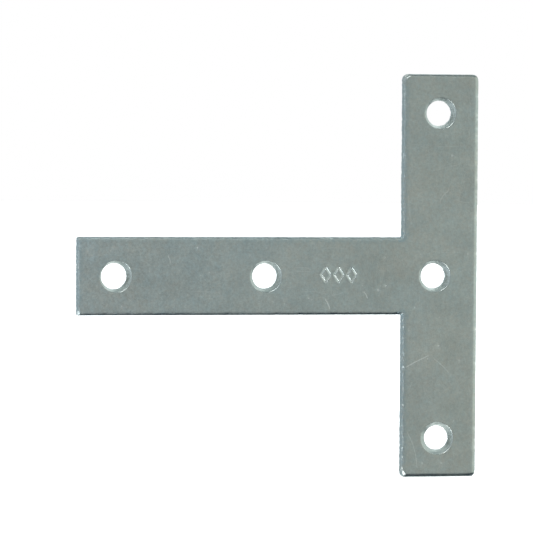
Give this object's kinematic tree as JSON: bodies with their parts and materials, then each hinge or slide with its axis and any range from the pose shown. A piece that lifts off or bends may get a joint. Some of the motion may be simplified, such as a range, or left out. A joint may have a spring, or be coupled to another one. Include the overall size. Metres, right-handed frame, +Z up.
{
  "type": "flat t plate",
  "caption": "Flat T-shaped steel mending plate with countersunk screw holes along its bar and arm, for bracing a tee joint in a gate, door or frame.",
  "frame": {"origin": "on the axis of the junction hole, where the arm meets the bar, in the plane of the flat back face", "axes": "+Z up along the bar, the arm points to -X, the countersunk front face looks along -Y and the flat back face looks along +Y"},
  "size_m": [0.1015, 0.002, 0.1016],
  "materials": {
    "zinc_plated_steel": "satin bright zinc plating over cold-rolled steel, faintly mottled, with light handling scratches"
  },
  "bodies": {
    "root": {"t_plate": "zinc_plated_steel"}
  },
  "joints": []
}
